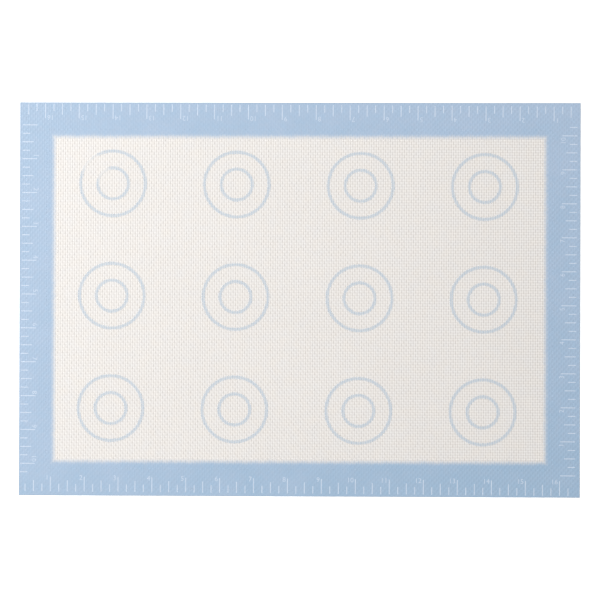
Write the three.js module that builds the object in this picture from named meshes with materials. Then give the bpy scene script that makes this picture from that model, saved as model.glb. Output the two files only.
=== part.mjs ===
// A flexible baking mat: woven glass cloth between two silicone coats, with sealed edges, a printed ruler
// border and printed rings that mark the places for dough.
// Millimetres, +Z up. The origin is the middle of the underside, +X runs along the long side, +Y to the back.
import * as THREE from 'three';

// Sheet
const matLength = 420;
const matWidth = 295;
const baseCoatThickness = 0.2;
const clothThickness = 0.3;
const topCoatThickness = 0.2;

// Silicone that closes the cut edges
const sealWidth = 0.6;
const sealRound = 0.25;
const sealArcSegments = 4;

// Blue border print. innerBand is the plain blue between the inch marks and the pale field.
const borderThickness = 0.06;
const innerBand = 12.4;

// Ruler, printed a little off the middle of the sheet and a little turned.
// rulerMargin is the least blue that is left between a mark and the sealed edge.
const rulerShiftX = -0.7;
const rulerShiftY = 0.2;
const rulerTurnDegrees = -0.27;
const rulerMargin = 0.2;
const inch = 25.4;
const markWidth = 0.72;
const inchMarkLength = 11.3;
const halfMarkLength = 8.5;
const quarterMarkLength = 5.75;

// How near a long scale comes to the ruler's corner, and a short scale to the long scale's marks
const longScaleEnd = 2;
const shortScaleGap = 2.4;

// Where each scale's zero lies, inward from the corner at its reader's left
const frontZero = -2.4;
const rightZero = 15.1;
const backZero = -7.85;
const leftZero = 16.18;

// Rings, printed in a pass of their own. Radii run to the middle of the stroke, ringBand is the pale band
// between two strokes, and the margins lie between the outermost rings and the border.
const ringThickness = 0.05;
const ringStroke = 2.4;
const innerRingRadius = 11.6;
const ringBand = 10.25;
const ringColumns = 4;
const ringRows = 3;
const ringMarginX = 19.38;
const ringMarginY = 12.12;
const ringShiftX = -1.27;
const ringShiftY = 1.36;
const ringTurnDegrees = -0.45;
const innerRingSegments = 32;
const outerRingSegments = 48;

// Laminate: the three layers are cut to one size, and the seal goes round them
const laminateLength = matLength - 2 * sealWidth;
const laminateWidth = matWidth - 2 * sealWidth;
const clothBottom = baseCoatThickness;
const topCoatBottom = clothBottom + clothThickness;
const printBottom = topCoatBottom + topCoatThickness;
const sealHeight = printBottom + borderThickness;

// Box round the outer ends of the marks, which stays inside the border when shifted and turned
const rulerTurn = THREE.MathUtils.degToRad(rulerTurnDegrees);
const rulerSlope = Math.abs(Math.sin(rulerTurn));
const rulerLength = laminateLength - 2 * (rulerMargin + Math.abs(rulerShiftX)) - laminateWidth * rulerSlope;
const rulerWidth = laminateWidth - 2 * (rulerMargin + Math.abs(rulerShiftY)) - laminateLength * rulerSlope;
const markLengths = [inchMarkLength, quarterMarkLength, halfMarkLength, quarterMarkLength];
const markPitch = inch / markLengths.length;

// Pale field inside the border
const fieldLength = rulerLength - 2 * (inchMarkLength + innerBand);
const fieldWidth = rulerWidth - 2 * (inchMarkLength + innerBand);

// Ring grid, spread evenly over the field inside its margins
const outerRingRadius = innerRingRadius + ringStroke + ringBand;
const ringReach = outerRingRadius + ringStroke / 2;
const ringPitchX = (fieldLength - 2 * (ringMarginX + ringReach)) / (ringColumns - 1);
const ringPitchY = (fieldWidth - 2 * (ringMarginY + ringReach)) / (ringRows - 1);

const silicone = new THREE.MeshStandardMaterial({ color: 0xeee9e5, roughness: 0.55, metalness: 0 });
const glassFibre = new THREE.MeshStandardMaterial({ color: 0xf4f1ea, roughness: 0.8, metalness: 0 });
const bluePrint = new THREE.MeshStandardMaterial({ color: 0xb2c8e0, roughness: 0.5, metalness: 0 });
const ringPrint = new THREE.MeshStandardMaterial({ color: 0xc7d6df, roughness: 0.55, metalness: 0 });
const blueSeal = new THREE.MeshStandardMaterial({ color: 0xa6bcd4, roughness: 0.5, metalness: 0 });

const mat = new THREE.Group();

function addPiece(parent, name, geometry, material, bottom) {
  const piece = new THREE.Mesh(geometry, material);
  piece.name = name;
  piece.position.z = bottom;
  parent.add(piece);
  return piece;
}

// An outline's arcs get arcSegments each: a shape divides an arc into twice its curve segments.
function extrude(shape, thickness, arcSegments = 2) {
  const curveSegments = arcSegments / 2;
  return new THREE.ExtrudeGeometry(shape, { depth: thickness, bevelEnabled: false, curveSegments });
}

function rectanglePoints(length, width) {
  const x = length / 2;
  const y = width / 2;
  return [[-x, -y], [x, -y], [x, y], [-x, y]].map((corner) => new THREE.Vector2(...corner));
}

// A run of seal along the front, with a flat inner face, rounded outer edges and mitred ends.
// The section is drawn outward and up, and each end reaches further out along the mitre.
function sealGeometry(run, depth) {
  const round = Math.min(sealRound, sealWidth, sealHeight / 2);
  const section = new THREE.Shape();
  section.moveTo(0, 0);
  section.absarc(sealWidth - round, round, round, -Math.PI / 2, 0);
  section.absarc(sealWidth - round, sealHeight - round, round, 0, Math.PI / 2);
  section.lineTo(0, sealHeight);
  const geometry = extrude(section, 1, sealArcSegments);
  const places = geometry.attributes.position;
  for (let i = 0; i < places.count; i += 1) {
    const outward = places.getX(i);
    const up = places.getY(i);
    const side = places.getZ(i) === 0 ? 1 : -1;
    places.setXYZ(i, side * (run / 2 + outward), -(depth / 2 + outward), up);
  }
  geometry.computeVertexNormals();
  return geometry;
}

// The marks of one scale, as holes for the border's outline. Zero is at the left of a reader at that side.
function scaleMarks({ run, depth, zero, end, turn }) {
  const marks = [];
  const first = Math.max(0, Math.ceil((end - zero) / markPitch));
  const last = Math.floor((run - end - zero) / markPitch);
  for (let mark = first; mark <= last; mark += 1) {
    const length = markLengths[mark % markLengths.length];
    const along = zero + mark * markPitch - run / 2;
    const middle = new THREE.Vector2(along, (length - depth) / 2);
    const corners = rectanglePoints(markWidth, length);
    for (const corner of corners) {
      corner.add(middle).rotateAround(new THREE.Vector2(), turn + rulerTurn);
      corner.add(new THREE.Vector2(rulerShiftX, rulerShiftY));
    }
    marks.push(new THREE.Path(corners));
  }
  return marks;
}

function borderGeometry() {
  const shortEnd = inchMarkLength + shortScaleGap;
  const longScale = { run: rulerLength, depth: rulerWidth, end: longScaleEnd };
  const shortScale = { run: rulerWidth, depth: rulerLength, end: shortEnd };
  const border = new THREE.Shape(rectanglePoints(laminateLength, laminateWidth));
  border.holes.push(new THREE.Path(rectanglePoints(fieldLength, fieldWidth)));
  border.holes.push(...scaleMarks({ ...longScale, zero: frontZero, turn: 0 }));
  border.holes.push(...scaleMarks({ ...shortScale, zero: rightZero, turn: Math.PI / 2 }));
  border.holes.push(...scaleMarks({ ...longScale, zero: backZero, turn: Math.PI }));
  border.holes.push(...scaleMarks({ ...shortScale, zero: leftZero, turn: -Math.PI / 2 }));
  return extrude(border, borderThickness);
}

function ringGeometry(radius, segments) {
  const ring = new THREE.Shape();
  ring.absarc(0, 0, radius + ringStroke / 2, 0, 2 * Math.PI);
  const hole = new THREE.Path();
  hole.absarc(0, 0, radius - ringStroke / 2, 0, 2 * Math.PI);
  ring.holes.push(hole);
  return extrude(ring, ringThickness, segments);
}

// Layers of the sheet, from the tray up
const layer = new THREE.Shape(rectanglePoints(laminateLength, laminateWidth));
addPiece(mat, 'base_coat', extrude(layer, baseCoatThickness), silicone, 0);
addPiece(mat, 'glass_cloth', extrude(layer, clothThickness), glassFibre, clothBottom);
addPiece(mat, 'top_coat', extrude(layer, topCoatThickness), silicone, topCoatBottom);

// Seal round the cut edges, one run for each side
const sealSides = ['front', 'right', 'back', 'left'];
sealSides.forEach((side, quarter) => {
  const runsAlongX = quarter % 2 === 0;
  const run = runsAlongX ? laminateLength : laminateWidth;
  const depth = runsAlongX ? laminateWidth : laminateLength;
  const seal = addPiece(mat, `edge_seal_${side}`, sealGeometry(run, depth), blueSeal, 0);
  seal.rotation.z = quarter * Math.PI / 2;
});

addPiece(mat, 'border_frame', borderGeometry(), bluePrint, printBottom);

// Rings, numbered along each row from the back left
const rings = new THREE.Group();
rings.position.set(ringShiftX, ringShiftY, printBottom);
rings.rotation.z = THREE.MathUtils.degToRad(ringTurnDegrees);
mat.add(rings);
for (let row = 0; row < ringRows; row += 1) {
  for (let column = 0; column < ringColumns; column += 1) {
    const number = row * ringColumns + column + 1;
    const x = (column - (ringColumns - 1) / 2) * ringPitchX;
    const y = ((ringRows - 1) / 2 - row) * ringPitchY;
    const outer = ringGeometry(outerRingRadius, outerRingSegments);
    const inner = ringGeometry(innerRingRadius, innerRingSegments);
    addPiece(rings, `ring_outer_${number}`, outer, ringPrint, 0).position.set(x, y, 0);
    addPiece(rings, `ring_inner_${number}`, inner, ringPrint, 0).position.set(x, y, 0);
  }
}

export default mat;
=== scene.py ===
import math
import random

import bmesh
import bpy
import numpy as np
from mathutils import Matrix, Vector


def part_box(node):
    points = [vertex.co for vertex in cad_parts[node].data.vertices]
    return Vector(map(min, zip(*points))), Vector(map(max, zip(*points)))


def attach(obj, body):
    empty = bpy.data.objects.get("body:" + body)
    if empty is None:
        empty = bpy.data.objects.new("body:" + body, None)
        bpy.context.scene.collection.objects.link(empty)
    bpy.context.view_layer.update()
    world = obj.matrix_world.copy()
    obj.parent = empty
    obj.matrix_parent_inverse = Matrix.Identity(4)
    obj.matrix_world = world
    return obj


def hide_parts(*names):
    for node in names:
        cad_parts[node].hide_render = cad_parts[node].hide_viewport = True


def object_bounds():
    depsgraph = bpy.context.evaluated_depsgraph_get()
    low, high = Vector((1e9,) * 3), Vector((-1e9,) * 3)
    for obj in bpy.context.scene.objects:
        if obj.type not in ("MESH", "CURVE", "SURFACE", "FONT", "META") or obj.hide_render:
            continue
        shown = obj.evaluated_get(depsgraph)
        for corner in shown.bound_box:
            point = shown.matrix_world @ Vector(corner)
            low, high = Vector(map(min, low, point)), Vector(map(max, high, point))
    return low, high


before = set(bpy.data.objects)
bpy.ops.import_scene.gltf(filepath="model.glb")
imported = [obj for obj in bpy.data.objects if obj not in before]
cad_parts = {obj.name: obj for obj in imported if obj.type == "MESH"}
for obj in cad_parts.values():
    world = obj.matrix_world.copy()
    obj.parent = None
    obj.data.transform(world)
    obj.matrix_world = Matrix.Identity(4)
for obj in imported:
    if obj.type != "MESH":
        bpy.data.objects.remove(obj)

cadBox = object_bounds()
scene = bpy.context.scene
mm = 0.001
print("frame loaded with", len(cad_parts), "nodes")

# The cut sheet inside its edge bead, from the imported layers
sheetLow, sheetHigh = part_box("glass_cloth")
sheetLength = sheetHigh[0] - sheetLow[0]
sheetWidth = sheetHigh[1] - sheetLow[1]
clothLow, clothHigh = sheetLow[2], sheetHigh[2]
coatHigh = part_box("top_coat")[1][2]
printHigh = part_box("border_frame")[1][2]

camera = {
    "lens": 85.0,                  # in Blender's millimetres, as the sensor is
    "sensor": 36.0,
    "frameWidth": 449.2 * mm,      # what 600 pixels show on the mat
    "aim": (0.65 * mm, -0.4 * mm),
    "turn": 0.17,                  # degrees, the mat lies turned clockwise
    "lean": 0.7,                   # degrees, the lens stands a little to the right
    "nod": 0.19,                   # degrees, and hardly to the front
}


def addCamera():
    data = bpy.data.cameras.new("camera")
    data.lens = camera["lens"]
    data.sensor_width = camera["sensor"]
    rig = bpy.data.objects.new("camera", data)
    scene.collection.objects.link(rig)
    distance = camera["frameWidth"] * data.lens / data.sensor_width
    lean = Matrix.Rotation(math.radians(camera["lean"]), 4, "Y")
    nod = Matrix.Rotation(math.radians(camera["nod"]), 4, "X")
    turn = Matrix.Rotation(math.radians(camera["turn"]), 4, "Z")
    aim = Matrix.Translation((*camera["aim"], printHigh))
    rig.matrix_world = aim @ nod @ lean @ turn @ Matrix.Translation((0, 0, distance))
    scene.camera = rig


addCamera()


class Wire:
    # An output socket. Sums on it add Math nodes to its tree.
    def __init__(self, socket):
        self.socket = socket
        self.tree = socket.id_data

    @staticmethod
    def make(tree, kind, settings=None, values=None, out=0):
        node = tree.nodes.new(kind)
        for name, value in (settings or {}).items():
            setattr(node, name, value)
        for name, value in (values or {}).items():
            if isinstance(value, Wire):
                tree.links.new(value.socket, node.inputs[name])
            else:
                node.inputs[name].default_value = value
        return Wire(node.outputs[out])

    def sum(self, operation, *terms):
        values = dict(enumerate(terms))
        return Wire.make(self.tree, "ShaderNodeMath", {"operation": operation}, values)

    def __add__(self, other):
        return self.sum("ADD", self, other)

    def __radd__(self, other):
        return self.sum("ADD", other, self)

    def __sub__(self, other):
        return self.sum("SUBTRACT", self, other)

    def __rsub__(self, other):
        return self.sum("SUBTRACT", other, self)

    def __mul__(self, other):
        return self.sum("MULTIPLY", self, other)

    def __rmul__(self, other):
        return self.sum("MULTIPLY", other, self)

    def __truediv__(self, other):
        return self.sum("DIVIDE", self, other)

    def __mod__(self, other):
        return self.sum("MODULO", self, other)

    def __abs__(self):
        return self.sum("ABSOLUTE", self)

    def __lt__(self, other):
        return self.sum("LESS_THAN", self, other)

    def __gt__(self, other):
        return self.sum("GREATER_THAN", self, other)

    def cos(self):
        return self.sum("COSINE", self)

    def sin(self):
        return self.sum("SINE", self)

    def sqrt(self):
        return self.sum("SQRT", self)

    def round(self):
        return self.sum("ROUND", self)

    def most(self, other):
        return self.sum("MAXIMUM", self, other)

    def ease(self, low, high):
        settings = {"interpolation_type": "SMOOTHSTEP"}
        return Wire.make(self.tree, "ShaderNodeMapRange", settings, {0: self, 1: low, 2: high})

    def ramp(self, low, high):
        return Wire.make(self.tree, "ShaderNodeMapRange", {}, {0: self, 1: low, 2: high})


def paint(red, green, blue):
    tones = [tone / 255 for tone in (red, green, blue)]
    linear = [tone / 12.92 if tone < 0.04045 else ((tone + 0.055) / 1.055) ** 2.4 for tone in tones]
    return (*linear, 1.0)


def mixPaint(tree, share, first, second, way="MIX"):
    settings = {"data_type": "RGBA", "blend_type": way}
    return Wire.make(tree, "ShaderNodeMix", settings, {0: share, 6: first, 7: second}, 2)


def noise(place, size, detail=2.0, seed=0.0):
    # size is the length of one blotch, and seed shifts the pattern
    tree = place.tree
    shift = Wire.make(tree, "ShaderNodeVectorMath", {}, {0: place, 1: (seed, seed, 0)})
    values = {"Vector": shift, "Scale": 1 / size, "Detail": detail}
    return Wire.make(tree, "ShaderNodeTexNoise", {}, values)


def patches(place, size, detail=2.0, seed=0.0):
    # The noise, stretched so that it reaches 0 and 1
    return noise(place, size, detail, seed).ramp(0.3, 0.7)


def vector(tree, x, y, z):
    return Wire.make(tree, "ShaderNodeCombineXYZ", {}, {0: x, 1: y, 2: z})


def part(wire, axis):
    return Wire.make(wire.tree, "ShaderNodeSeparateXYZ", {}, {0: wire}, axis)


weave = {
    "warps": 239,                # spaces between the yarns that run front to back
    "wefts": 148,
    "swing": 0.078,              # mm, a yarn's climb over the yarns it crosses
    "warpCrown": 0.094,          # mm, how round a yarn shows through the coat
    "weftCrown": 0.042,
    "softness": 0.018,           # mm, how softly one yarn goes under the other
    "calm": 0.4,                 # how much of the climb is lost towards the right
    "round": 0.35,               # and how much rounder the warps show there
    "calmReach": 0.4,            # of the length, from the middle to where both are reached
    "slantShadeBack": 0.3,            # what is left at the back of the painted shade along one diagonal
    "uneven": 1.1,               # of the climb, from one crossing to the next
    "wander": 0.10,              # in yarns
    "warpWander": 35 * mm,       # over which length the warps wander
    "weftWander": 45 * mm,
    "streak": 30 * mm,           # how long a stretch of one tone is on a yarn
    "pitDepth": 0.05 * mm,       # in the meshes, from the warps' crossings to the gaps
    "weftDrop": 0.5,             # of that depth, from the warps' crossings to the wefts'
    "calmEdge": 3.0 * mm,        # over which the pits fade out towards the cut
    "merge": 0.01 * mm,          # corners of two pits nearer than this become one
}
warpPitch = sheetLength / weave["warps"]
weftPitch = sheetWidth / weave["wefts"]


class Weave:
    # The plain weave over a material's Object coordinates: height in mm, crown from 0 in a gap to 1
    def __init__(self, tree):
        self.place = Wire.make(tree, "ShaderNodeTexCoord", out="Object")
        self.x = part(self.place, "X")
        self.y = part(self.place, "Y")
        stray = (noise(self.place, weave["warpWander"], 1.0) - 0.5) * weave["wander"] * 2
        drift = (noise(self.place, weave["weftWander"], 1.0, seed=3.1) - 0.5) * weave["wander"] * 2
        self.warp = (self.x + sheetLength / 2) / warpPitch + stray
        self.weft = (self.y + sheetWidth / 2) / weftPitch + drift
        overWarp = (self.warp * math.pi).cos()
        overWeft = (self.weft * math.pi).cos()
        self.checks = overWarp * overWeft
        knot = vector(tree, self.warp.round(), self.weft.round(), 0.0)
        settings = {"noise_dimensions": "2D"}
        self.chance = Wire.make(tree, "ShaderNodeTexWhiteNoise", settings, {"Vector": knot})
        self.toRight = self.x.ease(0.0, weave["calmReach"] * sheetLength)
        self.toFront = 0.5 - self.y / sheetWidth
        calm = 1 - self.toRight * weave["calm"]
        # Painted shade along one diagonal of each crossing, little at the back and more to the front
        slant = (self.warp * math.pi).sin() * (self.weft * math.pi).sin()
        self.lean = slant * (weave["slantShadeBack"] + self.toFront) * calm
        climb = self.checks * weave["swing"] * calm
        climb = climb * (1 + (self.chance - 0.5) * weave["uneven"])
        warpTop = climb + overWarp * overWarp * weave["warpCrown"] * (1 + self.toRight * weave["round"])
        weftTop = overWeft * overWeft * weave["weftCrown"] - climb
        half = (warpTop - weftTop) * 0.5
        reach = (half * half + weave["softness"] ** 2).sqrt()
        self.height = (warpTop + weftTop) * 0.5 + reach
        self.warpUp = half / reach * 0.5 + 0.5
        self.crown = self.height.ramp(weave["softness"], weave["swing"] + weave["weftCrown"])
        # Masks for the painted shade in the grooves between the yarns
        self.warpGroove = 1 - overWarp * overWarp
        self.weftGroove = 1 - overWeft * overWeft
        warpRun = vector(tree, self.warp, self.y / weave["streak"], 0.0)
        weftRun = vector(tree, self.x / weave["streak"], self.weft, 5.0)
        self.streak = (noise(warpRun, 1.0, 1.0) + noise(weftRun, 1.0, 1.0)) * 0.5


def newMaterial(name, roughness):
    material = bpy.data.materials.new(name)
    material.use_nodes = True
    shader = material.node_tree.nodes["Principled BSDF"]
    shader.inputs["Roughness"].default_value = roughness
    return material, material.node_tree, shader


def plug(shader, **wires):
    for name, wire in wires.items():
        shader.id_data.links.new(wire.socket, shader.inputs[name.replace("_", " ")])


def bump(height):
    # The height is in mm
    values = {"Strength": 1.0, "Distance": mm, "Height": height}
    return Wire.make(height.tree, "ShaderNodeBump", {}, values)


silicone = {
    "light": paint(251, 248, 245),
    # The darker, warmer tone below is partly the coat's own colour and partly painted shade in the weave
    "deep": paint(233, 228, 224),
    "film": paint(243, 242, 241),
    "warm": paint(255, 254, 252),
    "cool": paint(253, 254, 255),
    "gapShadeShare": 0.27,            # of the way from light to deep: painted shade in the gaps of the weave, with the coat's own warmer tone there
    "warpShadeShare": 0.46,           # painted shade over the warps' crossings
    "warpGroove": 0.27,          # painted shade between the warps
    "weftGroove": 0.25,          # painted shade between the wefts
    "weftMiddle": 0.8,           # how much of that shows at the middle of the mat
    "weftRise": 4.0,             # how much more of it over the mat's length, to the right
    "weftLeast": 0.1,            # and what is left of it at the left
    "checkShadeShare": 0.13,          # painted shade from the wefts' crossings to the warps', and less of it to the front
    "slantShadeShare": -0.19,          # painted shade along one diagonal, and more of it to the front
    "chanceShare": 0.15,         # from one crossing to the next
    "streakShare": 0.2,          # along the yarns
    "filmShare": 0.32,           # of the film, and more of it in flecks and clouds
    "fleckShare": 0.2,
    "fleckSize": 2.4 * mm,
    "cloudShare": 0.15,
    "cloudSize": 60 * mm,
    "tintSize": 8 * mm,
    "roughness": 0.52,
    "grainGloss": 0.1,           # how much the grain changes the roughness
    "crownGloss": 0.05,          # and how much smoother the crowns are
    "grainSize": 0.6 * mm,
    "grainHeight": 0.008,        # mm
    "dentSize": 1.3 * mm,
    "dentHeight": 0.03,          # mm
}


def tinted(place, tone, size, warm, cool):
    # Soft patches that lean to one tint or the other
    tint = mixPaint(place.tree, patches(place, size, seed=4.4), warm, cool)
    return mixPaint(place.tree, 1.0, tone, tint, "MULTIPLY")


def creamPaint(tree, cloth):
    # Cream over the yarns, a little warmer in the gaps, with painted shade in the gaps, between the yarns
    # and on the warps' crossings; also uneven yarns and faint clouds
    share = (1 - cloth.crown) * silicone["gapShadeShare"] + cloth.warpUp * silicone["warpShadeShare"]
    share = share + cloth.warpGroove * silicone["warpGroove"]
    share = share + cloth.checks * silicone["checkShadeShare"] * (1 - cloth.toFront)
    share = share + cloth.lean * silicone["slantShadeShare"]
    # The painted shade between the wefts grows to the right
    weftShadeDepth = cloth.x * (silicone["weftRise"] / sheetLength) + silicone["weftMiddle"]
    weftShadeDepth = weftShadeDepth.most(silicone["weftLeast"])
    share = share + (cloth.weftGroove - 0.5) * silicone["weftGroove"] * weftShadeDepth
    share = share + (cloth.chance - 0.5) * silicone["chanceShare"]
    share = share + (cloth.streak - 0.5) * silicone["streakShare"]
    tone = mixPaint(tree, share, silicone["light"], silicone["deep"])
    flecks = patches(cloth.place, silicone["fleckSize"], seed=7.0)
    clouds = patches(cloth.place, silicone["cloudSize"], 3.0, seed=7.0)
    film = silicone["filmShare"] + flecks * silicone["fleckShare"] + clouds * silicone["cloudShare"]
    tone = mixPaint(tree, film, tone, silicone["film"], "MULTIPLY")
    return tinted(cloth.place, tone, silicone["tintSize"], silicone["warm"], silicone["cool"])


def creamSilicone():
    material, tree, shader = newMaterial("cream_silicone", silicone["roughness"])
    cloth = Weave(tree)
    grain = noise(cloth.place, silicone["grainSize"], seed=1.7)
    rough = silicone["roughness"] + silicone["grainGloss"] * (grain - 0.5)
    rough = rough - silicone["crownGloss"] * cloth.crown
    plug(shader, Base_Color=creamPaint(tree, cloth), Roughness=rough)
    dents = noise(cloth.place, silicone["dentSize"], 1.0, seed=6.6)
    relief = cloth.height + grain * silicone["grainHeight"] + dents * silicone["dentHeight"]
    plug(shader, Normal=bump(relief))
    return material


field = {  # the pale field that the border leaves open
    "length": 368.2155 * mm,
    "width": 243.6265 * mm,
}
border = {
    "blue": paint(179, 199, 223),
    "deepBlue": paint(166, 192, 217),
    # The thin print's blue, which also carries painted shade in the weave's gaps
    "thinPrintAndShadeBlue": paint(150, 176, 206),
    "warm": paint(255, 253, 252),
    "cool": paint(251, 254, 255),
    "tintSize": 4 * mm,
    "feather": 2.6 * mm,         # half the width over which the print fades out
    "crownStray": 0.9 * mm,      # how far that edge follows the weave
    "stray": 1.6 * mm,           # and how far it wanders
    "straySize": 4 * mm,
    "overlap": 3.5 * mm,         # how far its thin rim runs into the field
    "rimThickness": 0.004 * mm,
    "fill": 0.75,                # how much of a gap the ink fills
    "low": 0.59 * mm,            # the print's underside, inside the coat
    "deep": 0.225,               # of the way from blue to deepBlue
    "shadeRight": 0.08,           # painted shade, more of it to the right, away from the lamp
    "shadeFront": 0.27,           # painted shade to the front, away from the lamp
    "shadeCorners": 0.25,         # painted shade at the front right and the back left, and painted light at the other corners
    "paintedLightEnds": 0.22,            # painted light: taken off along the short sides, most of it near their middle
    "blotchShare": 0.55,
    "blotchSize": 24 * mm,
    "thinShare": 0.16,           # of the way to the thin print's darker blue, in small flecks
    "thinRange": (0.35, 0.75),   # of their noise
    "thinSize": 1.5 * mm,
    "gapShadeShare": 0.06,            # and painted shade in the gaps of the weave
    "plainShadeShare": 0.08,          # more painted shade in the gaps and painted light on the crowns, where the weave shows plainer
    "plainRight": 1.5,           # how much plainer that is to the right
    "plainFront": 0.4,           # and to the front
    "checkHeight": 0.017,        # mm, of the crossings under the ink
    "roughness": 0.46,
    "grainGloss": 0.12,          # how much the grain changes the roughness
    "grainSize": 0.5 * mm,
    "grainHeight": 0.008,        # mm
}


def blueInk():
    # Blue in uneven tones that fades out over the field and lets some of the weave show, with painted shade
    # away from the lamp and in the weave's gaps
    material, tree, shader = newMaterial("blue_ink", border["roughness"])
    cloth = Weave(tree)
    inX = abs(cloth.x) - field["length"] / 2
    inY = abs(cloth.y) - field["width"] / 2
    ragged = (cloth.crown - 0.5) * border["crownStray"]
    ragged = ragged + (noise(cloth.place, border["straySize"], seed=5.0) - 0.5) * border["stray"]
    inked = (inX.most(inY) + ragged).ease(-border["feather"], border["feather"])
    blotches = patches(cloth.place, border["blotchSize"], 3.0, seed=2.0)
    across, along = cloth.x / (sheetLength / 2), cloth.y / (sheetWidth / 2)
    printToneAndShade = blotches * border["blotchShare"] + border["deep"]
    # Painted shade away from the lamp, to the right and the front, and at two corners
    printToneAndShade = printToneAndShade + border["shadeRight"] * across - border["shadeFront"] * along
    printToneAndShade = printToneAndShade - border["shadeCorners"] * across * along
    # Painted light along the short sides
    ends = across * across * (1 - along * along) * (1 - along)
    printToneAndShade = printToneAndShade - border["paintedLightEnds"] * ends
    blue = mixPaint(tree, printToneAndShade, border["blue"], border["deepBlue"])
    blue = tinted(cloth.place, blue, border["tintSize"], border["warm"], border["cool"])
    thin = noise(cloth.place, border["thinSize"], seed=9.0).ramp(*border["thinRange"])
    # Painted shade in the gaps and painted light on the crowns grow to the right and the front, and so do
    # the crossings under the ink
    plainShadeAndRelief = cloth.toRight * border["plainRight"] + cloth.toFront * border["plainFront"]
    gaps = border["gapShadeShare"] * (1 - cloth.crown) + (0.5 - cloth.crown) * plainShadeAndRelief * border["plainShadeShare"]
    blue = mixPaint(tree, thin * border["thinShare"] + gaps, blue, border["thinPrintAndShadeBlue"])
    plug(shader, Base_Color=mixPaint(tree, inked, creamPaint(tree, cloth), blue))
    grain = noise(cloth.place, border["grainSize"], seed=1.7)
    plug(shader, Roughness=border["roughness"] + border["grainGloss"] * (grain - 0.5))
    crossings = inked * cloth.checks * (1 + plainShadeAndRelief) * border["checkHeight"]
    relief = cloth.height * (1 - inked * border["fill"]) + crossings
    plug(shader, Normal=bump(relief + grain * border["grainHeight"]))
    return material


siliconeSkin = creamSilicone()
borderSkin = blueInk()
print("silicone and border finishes ready")


def newTree(name, inputs):
    # A geometry tree with the named inputs, and its group input as a row of wires
    tree = bpy.data.node_groups.new(name, "GeometryNodeTree")
    for title, kind in inputs.items():
        tree.interface.new_socket(title, in_out="INPUT", socket_type="NodeSocket" + kind)
    tree.interface.new_socket("mesh", in_out="OUTPUT", socket_type="NodeSocketGeometry")
    entry = tree.nodes.new("NodeGroupInput")
    return tree, {title: Wire(entry.outputs[title]) for title in inputs}


def endTree(shape, material):
    whole = Wire.make(shape.tree, "GeometryNodeRealizeInstances", {}, {0: shape})
    coated = Wire.make(shape.tree, "GeometryNodeSetMaterial", {}, {"Geometry": whole, "Material": material})
    finish = shape.tree.nodes.new("NodeGroupOutput")
    shape.tree.links.new(coated.socket, finish.inputs[0])
    return shape.tree


def grow(name, tree, **inputs):
    # Runs a tree on an empty mesh and keeps the result as a plain mesh
    holder = bpy.data.objects.new(name, bpy.data.meshes.new(name))
    scene.collection.objects.link(holder)
    modifier = holder.modifiers.new("nodes", "NODES")
    modifier.node_group = tree
    for item in tree.interface.items_tree:
        if item.name in inputs:
            modifier[item.identifier] = inputs[item.name]
    view = bpy.context.evaluated_depsgraph_get()
    mesh = bpy.data.meshes.new_from_object(holder.evaluated_get(view))
    holder.modifiers.remove(modifier)
    bpy.data.objects.remove(holder)
    mesh.name = name
    mesh.materials.clear()       # a cone or cube brings an empty slot of its own
    mesh.materials.append(inputs["material"])
    mesh.polygons.foreach_set("material_index", np.zeros(len(mesh.polygons), dtype=np.int32))
    return mesh


def addPiece(name, mesh, slot, *nodes):
    piece = bpy.data.objects.new(name, mesh)
    scene.collection.objects.link(piece)
    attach(piece, "root")
    if nodes:
        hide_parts(*nodes)
    return piece


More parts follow.
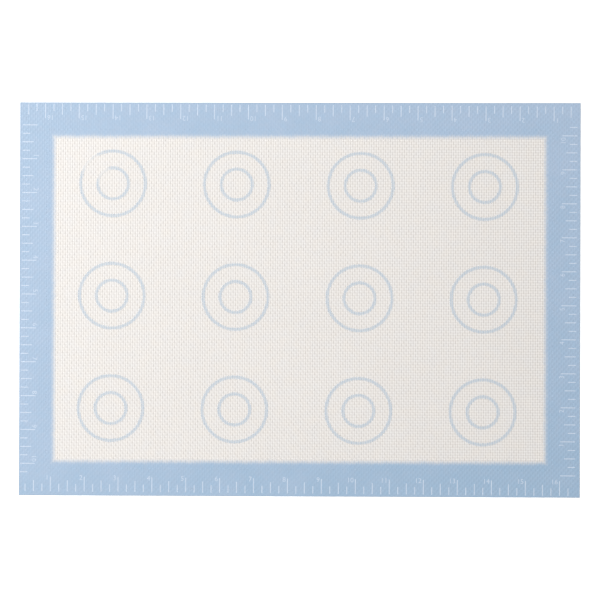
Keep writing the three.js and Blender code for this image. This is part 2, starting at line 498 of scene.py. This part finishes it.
def dimpledTree():
    # The relief of the weave: a pit in each gap, and each second crossing lower.
    # A window can be left open, and the sheet thins to a rim round it.
    tree, given = newTree("dimpled_sheet", {
        "length": "Float", "width": "Float", "columns": "Int", "rows": "Int", "crownLevel": "Float",
        "pitDepth": "Float", "windowLength": "Float", "windowWidth": "Float", "rimWidth": "Float",
        "rimDrop": "Float", "fill": "Float", "weftDrop": "Float", "material": "Material",
    })
    cellX = given["length"] / given["columns"]
    cellY = given["width"] / given["rows"]
    spots = Wire.make(tree, "GeometryNodeMeshGrid", {}, {
        "Size X": given["length"] - cellX, "Size Y": given["width"] - cellY,
        "Vertices X": given["columns"], "Vertices Y": given["rows"],
    })
    pit = Wire.make(tree, "GeometryNodeMeshCone", {"fill_type": "NONE"}, {
        "Vertices": 4, "Radius Top": 0.0, "Radius Bottom": math.sqrt(0.5), "Depth": 1.0,
    })
    square = Wire.make(tree, "GeometryNodeTransform", {}, {0: pit, "Rotation": (0, 0, math.pi / 4)})
    place = Wire.make(tree, "GeometryNodeInputPosition")
    outside = (abs(part(place, "X")) - given["windowLength"] / 2).most(
        abs(part(place, "Y")) - given["windowWidth"] / 2)
    pits = Wire.make(tree, "GeometryNodeInstanceOnPoints", {}, {
        "Points": spots, "Selection": outside > 0.0, "Instance": square,
        "Scale": vector(tree, cellX, cellY, 1.0),
    })
    whole = Wire.make(tree, "GeometryNodeRealizeInstances", {}, {0: pits})
    joined = Wire.make(tree, "GeometryNodeMergeByDistance", {}, {
        "Geometry": whole, "Distance": weave["merge"],
    })
    body = (outside / given["rimWidth"]).ease(0.0, 1.0)
    crown = given["crownLevel"] - given["rimDrop"] * (1 - body)
    edge = (abs(part(place, "X")) - given["length"] / 2).most(abs(part(place, "Y")) - given["width"] / 2)
    deep = given["pitDepth"] * (1 - given["fill"] * body) * (edge / -weave["calmEdge"]).ease(0.0, 1.0)
    isPit = part(place, "Z") > 0.5        # the tip of a cone
    column = (part(place, "X") / cellX + given["columns"] * 0.5).round()
    row = (part(place, "Y") / cellY + given["rows"] * 0.5).round()
    weftOver = abs((column + row) % 2.0) * (1 - isPit)
    level = crown - deep * (isPit + given["weftDrop"] * weftOver)
    shaped = Wire.make(tree, "GeometryNodeSetPosition", {}, {
        "Geometry": joined, "Position": vector(tree, part(place, "X"), part(place, "Y"), level),
    })
    smooth = Wire.make(tree, "GeometryNodeSetShadeSmooth", {}, {"Geometry": shaped})
    return endTree(smooth, given["material"])


bakeMap = {  # where the strips of a sheet lie on its map, from 0 to 1
    "upper": 0.08,               # the upper face starts here
    "under": 0.03,               # the underside ends here
    "endWalls": 0.04,
    "sideWalls": 0.055,
    "wallHeight": 0.01,
    "onUnder": 0.001 * mm,       # points nearer than this to the underside lie on it
}


def closeUnder(mesh, level, flip=False):
    # Walls down from the open edges and a flat underside, and the map for the bake
    work = bmesh.new()
    work.from_mesh(mesh)
    upper = len(work.faces)
    rim = [edge for edge in work.edges if edge.is_boundary]
    for edge in rim:
        edge.smooth = False
    made = bmesh.ops.extrude_edge_only(work, edges=rim)["geom"]
    for vert in [item for item in made if isinstance(item, bmesh.types.BMVert)]:
        vert.co.z = level
    low = [item for item in made if isinstance(item, bmesh.types.BMEdge) and item.is_boundary]
    bmesh.ops.triangle_fill(work, edges=low, normal=(0, 0, -1), use_beauty=True)
    bmesh.ops.recalc_face_normals(work, faces=work.faces)
    work.faces.index_update()
    layer = work.loops.layers.uv.new("OFBake")
    for face in work.faces:
        face.smooth = face.index < upper
        for loop in face.loops:
            across = loop.vert.co.x / sheetLength + 0.5
            along = loop.vert.co.y / sheetWidth + 0.5
            if face.index < upper:
                loop[layer].uv = (across, bakeMap["upper"] + (1 - bakeMap["upper"]) * along)
            elif abs(face.normal.z) > 0.5:
                loop[layer].uv = (across, bakeMap["under"] * along)
            else:
                isEnd = abs(face.normal.x) > 0.5
                strip = bakeMap["endWalls"] if isEnd else bakeMap["sideWalls"]
                isTop = abs(loop.vert.co.z - level) > bakeMap["onUnder"]
                loop[layer].uv = (along if isEnd else across, strip + bakeMap["wallHeight"] * isTop)
    if flip:
        for vert in work.verts:
            vert.co.z = -vert.co.z
        bmesh.ops.reverse_faces(work, faces=work.faces)
    work.to_mesh(mesh)
    work.free()
    return mesh


dimpledSheet = dimpledTree()
coatInputs = {
    "length": sheetLength, "width": sheetWidth, "columns": weave["warps"], "rows": weave["wefts"],
    "pitDepth": weave["pitDepth"], "weftDrop": weave["weftDrop"], "fill": 0.0, "material": siliconeSkin,
    "windowLength": -1.0, "windowWidth": -1.0, "rimWidth": 0.1, "rimDrop": 0.0,  # no window and no rim
}
topMesh = grow("upper_coat", dimpledSheet, **coatInputs, crownLevel=coatHigh)
upperCoat = addPiece("upper_coat", closeUnder(topMesh, clothHigh), "silicone", "top_coat")
lowMesh = grow("under_coat", dimpledSheet, **coatInputs, crownLevel=0.0)
underCoat = addPiece("under_coat", closeUnder(lowMesh, -clothLow, flip=True), "silicone", "base_coat")

borderInputs = coatInputs | {
    "windowLength": field["length"] - 2 * border["overlap"],
    "windowWidth": field["width"] - 2 * border["overlap"],
    "rimWidth": 2 * border["overlap"],
    "rimDrop": printHigh - coatHigh - border["rimThickness"],
    "fill": border["fill"],
    "material": borderSkin,
}
borderMesh = grow("blue_border", dimpledSheet, **borderInputs, crownLevel=printHigh)
blueBorder = addPiece("blue_border", closeUnder(borderMesh, border["low"]), "blue_print", "border_frame")
sheetFaces = [len(piece.data.polygons) for piece in (upperCoat, underCoat, blueBorder)]
print("coats and border:", sheetFaces, "faces")

yarns = {
    "warpWidth": 1.3 * mm,
    "weftWidth": 1.45 * mm,
    "swing": 0.09 * mm,
    "white": paint(244, 241, 234),
    "shade": paint(226, 222, 212),
    "filament": 0.09 * mm,
    "filamentHeight": 0.02,      # mm
    "roughness": 0.6,
}


def glassFibre():
    material, tree, shader = newMaterial("glass_fibre", yarns["roughness"])
    place = Wire.make(tree, "ShaderNodeTexCoord", out="Object")
    strands = noise(place, yarns["filament"])
    plug(shader, Base_Color=mixPaint(tree, strands, yarns["shade"], yarns["white"]))
    plug(shader, Normal=bump(strands * yarns["filamentHeight"]))
    return material


def wovenTree():
    # Two sets of flat yarns that pass over and under each other at every crossing
    tree, given = newTree("woven_yarns", {
        "length": "Float", "width": "Float", "warps": "Int", "wefts": "Int", "warpWidth": "Float",
        "weftWidth": "Float", "swing": "Float", "level": "Float", "material": "Material",
    })
    stepX = given["length"] / given["warps"]
    stepY = given["width"] / given["wefts"]
    place = Wire.make(tree, "GeometryNodeInputPosition")
    column = (part(place, "X") / stepX + given["warps"] * 0.5).round()
    row = (part(place, "Y") / stepY + given["wefts"] * 0.5).round()
    turn = (column * math.pi).cos() * (row * math.pi).cos() * given["swing"]
    warpStrip = Wire.make(tree, "GeometryNodeMeshGrid", {}, {
        "Size X": given["warpWidth"], "Size Y": given["width"],
        "Vertices X": 2, "Vertices Y": given["wefts"] + 1,
    })
    weftStrip = Wire.make(tree, "GeometryNodeMeshGrid", {}, {
        "Size X": given["length"], "Size Y": given["weftWidth"],
        "Vertices X": given["warps"] + 1, "Vertices Y": 2,
    })
    sets = tree.nodes.new("GeometryNodeJoinGeometry")
    for strip, step, count, axis, sign in (
        (warpStrip, stepX, given["warps"] - 1, "X", 1.0),
        (weftStrip, stepY, given["wefts"] - 1, "Y", -1.0),
    ):
        start = step * (count - 1) * -0.5
        line = Wire.make(tree, "GeometryNodeMeshLine", {}, {
            "Count": count,
            "Start Location": vector(tree, *((start, 0.0, 0.0) if axis == "X" else (0.0, start, 0.0))),
            "Offset": vector(tree, *((step, 0.0, 0.0) if axis == "X" else (0.0, step, 0.0))),
        })
        laid = Wire.make(tree, "GeometryNodeInstanceOnPoints", {}, {"Points": line, "Instance": strip})
        whole = Wire.make(tree, "GeometryNodeRealizeInstances", {}, {0: laid})
        bent = Wire.make(tree, "GeometryNodeSetPosition", {}, {
            "Geometry": whole, "Offset": vector(tree, 0.0, 0.0, turn * sign + given["level"]),
        })
        tree.links.new(bent.socket, sets.inputs[0])
    smooth = Wire.make(tree, "GeometryNodeSetShadeSmooth", {}, {"Geometry": Wire(sets.outputs[0])})
    return endTree(smooth, given["material"])


clothMesh = grow(
    "woven_cloth", wovenTree(), length=sheetLength, width=sheetWidth, warps=weave["warps"],
    wefts=weave["wefts"], warpWidth=yarns["warpWidth"], weftWidth=yarns["weftWidth"],
    swing=yarns["swing"], level=(clothLow + clothHigh) / 2, material=glassFibre(),
)
wovenCloth = addPiece("woven_cloth", clothMesh, "glass_cloth", "glass_cloth")
print("cloth:", len(clothMesh.polygons), "faces")

rings = {
    "columns": 4, "rows": 3,
    "pitch": (92.8518 * mm, 84.2432 * mm),
    "shift": (-1.27 * mm, 1.36 * mm),
    "turn": math.radians(-0.45),
    "radii": {"outer": 24.25 * mm, "inner": 11.6 * mm},
    "segments": {"outer": 120, "inner": 80},
    "stroke": 3.8 * mm,          # with the soft edges of the print, which sink into the weave
    "flatShare": 0.6,            # of the stroke, flat on top
    "thickness": 0.08 * mm,      # from below the gaps of the weave
    "proud": 0.012 * mm,         # over the crossings
    "ink": paint(193, 206, 218),
    "gapCover": 0.55,            # how much of the coat the ink hides in the gaps of the weave
    "crownCover": 0.38,          # and how much more on the crowns
    "fade": 0.8,                 # of half a stroke, over which it thins to the edge
    "crownStray": 0.3,           # of half a stroke, how far that edge follows the weave
    "stray": 0.3,                # and how far it wanders
    "straySize": 3 * mm,
    "fill": 0.3,                 # how much of the relief the ink takes
    "roughness": 0.5,
    "thinnedPlace": (-13.0 * mm, 12.0 * mm),   # from the middle of the first ring
    "thinnedReach": 13.0 * mm,
    "thinnedCore": 0.45,            # of that reach, where the ink is thinnest
    "thinnedLeft": 0.12,            # of the ink, left there
    "thinnedEdge": 9 * mm,             # how far the thinned place's edge wanders
    "thinnedEdgeSize": 4 * mm,
}


def ringPlace(number):
    row, column = divmod(number - 1, rings["columns"])
    x = (column - (rings["columns"] - 1) / 2) * rings["pitch"][0]
    y = ((rings["rows"] - 1) / 2 - row) * rings["pitch"][1]
    turned = Matrix.Rotation(rings["turn"], 2) @ Vector((x, y))
    return turned + Vector(rings["shift"])


def ringInk():
    # The ink takes on the crowns of the weave first, thins to a stroke's edges and thins out in one place
    # on the first ring
    material, tree, shader = newMaterial("ring_ink", rings["roughness"])
    cloth = Weave(tree)
    stroke = Wire.make(tree, "ShaderNodeAttribute", {"attribute_name": "stroke"}, out="Fac")
    thinned = ringPlace(1) + Vector(rings["thinnedPlace"])
    offX, offY = cloth.x - thinned.x, cloth.y - thinned.y
    away = (offX * offX + offY * offY).sqrt()
    thinnedEdge = (noise(cloth.place, rings["thinnedEdgeSize"], 3.0, seed=4.0) - 0.5) * rings["thinnedEdge"]
    whole = (away + thinnedEdge).ease(rings["thinnedCore"] * rings["thinnedReach"], rings["thinnedReach"])
    ragged = stroke + (cloth.crown - 0.5) * rings["crownStray"]
    ragged = ragged + (noise(cloth.place, rings["straySize"], seed=6.0) - 0.5) * rings["stray"]
    cover = rings["gapCover"] + rings["crownCover"] * cloth.crown
    kept = rings["thinnedLeft"] + (1 - rings["thinnedLeft"]) * whole
    inked = ragged.ease(0.0, rings["fade"]) * cover * kept
    plug(shader, Base_Color=mixPaint(tree, inked, creamPaint(tree, cloth), rings["ink"]))
    plug(shader, Normal=bump(cloth.height * (1 - inked * rings["fill"])))
    return material


def ringTree():
    # A low section with sloping edges, swept round a circle.
    # How far a point lies inside the stroke is kept for the ink.
    tree, given = newTree("printed_ring", {
        "radius": "Float", "segments": "Int", "stroke": "Float", "flatShare": "Float", "thickness": "Float",
        "middle": "Vector", "material": "Material",
    })
    path = Wire.make(tree, "GeometryNodeCurvePrimitiveCircle", {}, {
        "Resolution": given["segments"], "Radius": given["radius"]})
    upright = Wire.make(tree, "GeometryNodeSetCurveNormal", {"mode": "Z_UP"}, {"Curve": path})
    # The sweep turns the section over, so the flat top is its bottom here
    block = Wire.make(tree, "GeometryNodeCurvePrimitiveQuadrilateral", {"mode": "TRAPEZOID"}, {
        "Height": 2.0, "Bottom Width": given["flatShare"] * 2.0, "Top Width": 2.0, "Offset": 0.0})
    section = Wire.make(tree, "GeometryNodeSubdivideCurve", {}, {"Curve": block, "Cuts": 1})
    place = Wire.make(tree, "GeometryNodeInputPosition")
    marked = Wire.make(tree, "GeometryNodeStoreNamedAttribute", {"data_type": "FLOAT", "domain": "POINT"}, {
        "Geometry": section, "Name": "stroke", "Value": 1 - abs(part(place, "X"))})
    flat = Wire.make(tree, "GeometryNodeTransform", {}, {
        0: marked, "Scale": vector(tree, given["stroke"] * 0.5, given["thickness"] * 0.5, 1.0)})
    swept = Wire.make(tree, "GeometryNodeCurveToMesh", {}, {"Curve": upright, "Profile Curve": flat})
    moved = Wire.make(tree, "GeometryNodeTransform", {}, {0: swept, "Translation": given["middle"]})
    faced = Wire.make(tree, "GeometryNodeSetShadeSmooth", {}, {"Geometry": moved, "Shade Smooth": False})
    return endTree(faced, given["material"])


printedRing = ringTree()
ringSkin = ringInk()
for number in range(1, rings["columns"] * rings["rows"] + 1):
    for kind, radius in rings["radii"].items():
        middle = (*ringPlace(number), coatHigh + rings["proud"] - rings["thickness"] / 2)
        name = f"print_ring_{kind}_{number}"
        ringMesh = grow(
            name, printedRing, radius=radius, segments=rings["segments"][kind], stroke=rings["stroke"],
            flatShare=rings["flatShare"], thickness=rings["thickness"], middle=middle, material=ringSkin,
        )
        addPiece(name, ringMesh, "ring_print", f"ring_{kind}_{number}")

ruler = {
    "length": 415.6155 * mm, "width": 291.0265 * mm,
    "shift": Vector((-0.7 * mm, 0.2 * mm, 0)),
    "turn": math.radians(-0.27),
    "markPitch": 6.35 * mm,
    "marksPerInch": 4,
    "markWidth": 0.72 * mm,
    "taper": (0.2, 0.03),        # how much narrower and shorter a mark is on top
    "inchMark": 11.3 * mm, "halfMark": 8.5 * mm, "quarterMark": 5.75 * mm,
    "proud": 0.012 * mm,
    "ink": paint(225, 235, 249),
    "markStrength": 0.8,         # of the ink
    "figureStrength": 0.6,
    "cover": 0.6,                # of that strength, everywhere
    "patchCover": 0.3,           # and more in patches
    "patchSize": 5 * mm,
    "crownCover": 0.1,           # and on the crowns of the weave
    "relief": 0.25,              # what shows of the weave's
    "roughness": 0.5,
}
scales = {  # quarter turns, the zero's inset from the corner at the reader's left, first and last mark
    "front": {"quarter": 0, "zero": -2.4 * mm, "first": 1, "last": 65},
    "right": {"quarter": 1, "zero": 15.1 * mm, "first": 0, "last": 41},
    "back": {"quarter": 2, "zero": -7.85 * mm, "first": 2, "last": 66},
    "left": {"quarter": 3, "zero": 16.18 * mm, "first": 0, "last": 41},
}


def scaleFrame(side):
    # From a reader's own axes, along the side and inward, to the mat
    turn = Matrix.Rotation(scales[side]["quarter"] * math.pi / 2 + ruler["turn"], 4, "Z")
    return Matrix.Translation(ruler["shift"]) @ turn


def scaleSize(side):
    run, depth = ruler["length"], ruler["width"]
    return (run, depth) if scales[side]["quarter"] % 2 == 0 else (depth, run)


def paleInk(name, strength):
    material, tree, shader = newMaterial(name, ruler["roughness"])
    cloth = Weave(tree)
    patchy = patches(cloth.place, ruler["patchSize"], 3.0, seed=8.0)
    cover = ruler["cover"] + ruler["patchCover"] * patchy + ruler["crownCover"] * cloth.crown
    plug(shader, Base_Color=mixPaint(tree, cover * strength, border["blue"], ruler["ink"]))
    plug(shader, Normal=bump(cloth.height * ruler["relief"]))
    return material


def marksTree():
    # Bars at every quarter inch, from the outer edge inward, longer at the half and the whole inch
    tree, given = newTree("scale_marks", {
        "first": "Int", "count": "Int", "start": "Float", "edge": "Float", "pitch": "Float",
        "barWidth": "Float", "inchMark": "Float", "halfMark": "Float", "quarterMark": "Float",
        "low": "Float", "high": "Float", "turn": "Float", "shift": "Vector", "material": "Material",
    })
    line = Wire.make(tree, "GeometryNodeMeshLine", {}, {
        "Count": given["count"],
        "Start Location": vector(tree, given["start"], given["edge"], given["low"]),
        "Offset": vector(tree, given["pitch"], 0.0, 0.0),
    })
    phase = (Wire.make(tree, "GeometryNodeInputIndex") + given["first"]) % ruler["marksPerInch"]
    isInch = phase < 0.5
    isHalf = abs(phase - ruler["marksPerInch"] / 2) < 0.5
    reach = given["quarterMark"] + isInch * (given["inchMark"] - given["quarterMark"])
    reach = reach + isHalf * (given["halfMark"] - given["quarterMark"])
    block = Wire.make(tree, "GeometryNodeMeshCube", {}, {"Size": (1.0, 1.0, 1.0)})
    place = Wire.make(tree, "GeometryNodeInputPosition")
    top = part(place, "Z") > 0.0
    narrower, shorter = ruler["taper"]
    across = part(place, "X") * (1 - narrower * top)
    inward = part(place, "Y") * (1 - shorter * top) + 0.5
    bar = Wire.make(tree, "GeometryNodeSetPosition", {}, {
        "Geometry": block, "Position": vector(tree, across, inward, top),
    })
    bars = Wire.make(tree, "GeometryNodeInstanceOnPoints", {}, {
        "Points": line, "Instance": bar,
        "Scale": vector(tree, given["barWidth"], reach, given["high"] - given["low"]),
    })
    placed = Wire.make(tree, "GeometryNodeTransform", {}, {
        0: bars, "Rotation": vector(tree, 0.0, 0.0, given["turn"]), "Translation": given["shift"]})
    return endTree(placed, given["material"])


scaleMarks = marksTree()
marksSkin = paleInk("mark_ink", ruler["markStrength"])
figuresSkin = paleInk("figure_ink", ruler["figureStrength"])
for side, scale in scales.items():
    run, depth = scaleSize(side)
    name = f"scale_marks_{side}"
    marksMesh = grow(
        name, scaleMarks, first=scale["first"], count=scale["last"] - scale["first"] + 1,
        start=scale["zero"] + scale["first"] * ruler["markPitch"] - run / 2, edge=-depth / 2,
        pitch=ruler["markPitch"], barWidth=ruler["markWidth"], inchMark=ruler["inchMark"],
        halfMark=ruler["halfMark"], quarterMark=ruler["quarterMark"], low=coatHigh,
        high=printHigh + ruler["proud"], turn=scale["quarter"] * math.pi / 2 + ruler["turn"],
        shift=ruler["shift"], material=marksSkin,
    )
    addPiece(name, marksMesh, "silicone")
print("ruler marks:", sum(scale["last"] - scale["first"] + 1 for scale in scales.values()), "bars")

figures = {
    "height": 3.6 * mm,
    "gap": 0.85 * mm,            # between the inch mark and the space of the last digit
    "beyond": 1.05 * mm,         # how far the digits' tops stand inward of the mark's end
    "counts": {"front": 16, "right": 10, "back": 16, "left": 10},
    "thickness": 0.06 * mm,
    "merge": 0.02 * mm,          # points nearer than this become one
    "curveSteps": 3,             # along each curve of a digit
}


def figureMesh(text):
    # Digits as a solid of their own, ending at the origin at their right, with their tops at 0
    curve = bpy.data.curves.new("figure", "FONT")
    curve.body = text
    curve.align_x = "RIGHT"
    curve.resolution_u = figures["curveSteps"]
    curve.extrude = 0.5          # up and down, which makes 1
    holder = bpy.data.objects.new("figure", curve)
    scene.collection.objects.link(holder)
    view = bpy.context.evaluated_depsgraph_get()
    mesh = bpy.data.meshes.new_from_object(holder.evaluated_get(view))
    bpy.data.objects.remove(holder)
    bpy.data.curves.remove(curve)
    corners = np.array([vert.co[:] for vert in mesh.vertices])
    low, high = corners.min(axis=0), corners.max(axis=0)
    size = figures["height"] / (high[1] - low[1])
    mesh.transform(Matrix.Translation((0, -high[1], 0)))
    mesh.transform(Matrix.Diagonal((size, size, figures["thickness"], 1)))
    return mesh


for side, scale in scales.items():
    run, depth = scaleSize(side)
    work = bmesh.new()
    for inch in range(1, figures["counts"][side] + 1):
        mesh = figureMesh(str(inch))
        mark = scale["zero"] + inch * ruler["marksPerInch"] * ruler["markPitch"] - run / 2
        x = mark - ruler["markWidth"] / 2 - figures["gap"]
        y = ruler["inchMark"] - depth / 2 + figures["beyond"]
        z = printHigh + ruler["proud"] - figures["thickness"] / 2
        mesh.transform(scaleFrame(side) @ Matrix.Translation((x, y, z)))
        work.from_mesh(mesh)
        bpy.data.meshes.remove(mesh)
    bmesh.ops.remove_doubles(work, verts=work.verts, dist=figures["merge"])
    bmesh.ops.recalc_face_normals(work, faces=work.faces)
    figuresMesh = bpy.data.meshes.new(f"scale_figures_{side}")
    work.to_mesh(figuresMesh)
    work.free()
    figuresMesh.materials.append(figuresSkin)
    addPiece(f"scale_figures_{side}", figuresMesh, "silicone")
print("ruler figures:", sum(figures["counts"].values()), "numbers")

bead = {
    "round": 0.22 * mm,
    "steps": 6,                  # along each rounded shoulder
    "stride": 3.0 * mm,
    "trim": 0.08 * mm,           # how unevenly the edge is cut
    "seed": 11,
    "corner": math.radians(40),  # a sharper turn than this shows as an edge
    # Both tones are darker than the border's blue, which gives the cut edge a thin dark line
    "blue": paint(167, 188, 210),
    "shade": paint(159, 181, 205),
    "blotchSize": 6 * mm,
    "grainSize": 0.8 * mm,
    "grainHeight": 0.02,         # mm
    "roughness": 0.48,
}


def beadSilicone():
    material, tree, shader = newMaterial("edge_bead", bead["roughness"])
    place = Wire.make(tree, "ShaderNodeTexCoord", out="Object")
    blotches = patches(place, bead["blotchSize"], 3.0, seed=2.0)
    plug(shader, Base_Color=mixPaint(tree, blotches, bead["blue"], bead["shade"]))
    plug(shader, Normal=bump(noise(place, bead["grainSize"], 3.0) * bead["grainHeight"]))
    return material


def beadMesh(side, quarter, height):
    # A run along one side with rounded outer shoulders, an uneven cut and mitred ends
    wide = cadBox[1].x - sheetLength / 2
    run, depth = (sheetLength, sheetWidth) if quarter % 2 == 0 else (sheetWidth, sheetLength)
    turns = [math.pi / 2 * step / bead["steps"] for step in range(bead["steps"] + 1)]
    low = [(wide - bead["round"] * (1 - math.sin(t)), bead["round"] * (1 - math.cos(t))) for t in turns]
    section = [(0.0, 0.0), *low, *[(out, height - up) for out, up in reversed(low)], (0.0, height)]
    stations = max(2, round(run / bead["stride"]))
    chance = random.Random(quarter + bead["seed"])
    cuts = [chance.random() * bead["trim"] for station in range(stations + 1)]
    cuts[0] = cuts[-1] = 0.0
    work = bmesh.new()
    loops = []
    for station, cut in enumerate(cuts):
        along = 2 * station / stations - 1
        loop = []
        for out, up in section:
            outward = out * (1 - cut / wide)
            loop.append(work.verts.new((along * (run / 2 + outward), -(depth / 2 + outward), up)))
        loops.append(loop)
    for first, second in zip(loops, loops[1:]):
        for index in range(len(section)):
            after = (index + 1) % len(section)
            work.faces.new((first[index], first[after], second[after], second[index]))
    work.faces.new(loops[0])
    work.faces.new(loops[-1])
    for face in work.faces:
        face.smooth = len(face.verts) == 4
    bmesh.ops.rotate(work, matrix=Matrix.Rotation(quarter * math.pi / 2, 3, "Z"), verts=work.verts)
    bmesh.ops.recalc_face_normals(work, faces=work.faces)
    for edge in work.edges:
        edge.smooth = edge.calc_face_angle() < bead["corner"]
    mesh = bpy.data.meshes.new(f"edge_bead_{side}")
    work.to_mesh(mesh)
    work.free()
    return mesh


beadSkin = beadSilicone()
for side, scale in scales.items():
    mesh = beadMesh(side, scale["quarter"], printHigh)
    mesh.materials.append(beadSkin)
    addPiece(f"edge_bead_{side}", mesh, "edge_seal", f"edge_seal_{side}")

studio = {
    "key": (-1.7, 0.6, 2.0),     # the lamp, behind the mat at the left
    "keySize": 0.8,
    "keyPower": 58.0,
    "fill": 0.42,                # from the sky
    "floor": 0.8,
    "floorReach": 30.0,
    "floorDrop": 0.02 * mm,      # keeps the floor clear of the mat
    "floorGlow": 0.66,
    "farGlow": 0.3,              # added where the lamp no longer reaches the floor
    "farRange": (0.5, 3.0),      # from the middle, over which it is added
}


def addStudio():
    lamp = bpy.data.lights.new("key", "AREA")
    lamp.energy = studio["keyPower"]
    lamp.size = studio["keySize"]
    key = bpy.data.objects.new("key", lamp)
    key.location = studio["key"]
    key.rotation_euler = (-Vector(studio["key"])).to_track_quat("-Z", "Y").to_euler()
    scene.collection.objects.link(key)

    world = bpy.data.worlds.new("studio")
    world.use_nodes = True
    sky = world.node_tree.nodes["Background"]
    sky.inputs["Color"].default_value = (1, 1, 1, 1)
    backdrop = Wire.make(world.node_tree, "ShaderNodeLightPath", out="Is Camera Ray")
    plug(sky, Strength=backdrop.most(studio["fill"]))
    scene.world = world

    plane = bpy.data.meshes.new("floor")
    reach = studio["floorReach"]
    corners = [(-reach, -reach, 0), (reach, -reach, 0), (reach, reach, 0), (-reach, reach, 0)]
    plane.from_pydata(corners, [], [(0, 1, 2, 3)])
    plane.transform(Matrix.Translation((0, 0, -studio["floorDrop"])))
    floor = bpy.data.objects.new("floor", plane)
    scene.collection.objects.link(floor)
    material = bpy.data.materials.new("floor")
    material.use_nodes = True
    tree = material.node_tree
    tree.nodes.clear()
    path = tree.nodes.new("ShaderNodeLightPath")
    seen = Wire(path.outputs["Is Camera Ray"]).most(Wire(path.outputs["Is Glossy Ray"]))
    seen = seen.most(Wire(path.outputs["Is Transmission Ray"]))
    tone = studio["floor"]
    matt = Wire.make(tree, "ShaderNodeBsdfDiffuse", {}, {"Color": (tone, tone, tone, 1)})
    place = Wire.make(tree, "ShaderNodeTexCoord", out="Object")
    away = (part(place, "X") * part(place, "X") + part(place, "Y") * part(place, "Y")).sqrt()
    level = studio["floorGlow"] + away.ease(*studio["farRange"]) * studio["farGlow"]
    glow = Wire.make(tree, "ShaderNodeEmission", {}, {"Strength": seen * level})
    both = Wire.make(tree, "ShaderNodeAddShader", {}, {0: matt, 1: glow})
    finish = tree.nodes.new("ShaderNodeOutputMaterial")
    tree.links.new(both.socket, finish.inputs["Surface"])
    plane.materials.append(material)


addStudio()
scene.view_settings.view_transform = "Standard"
print("studio ready")
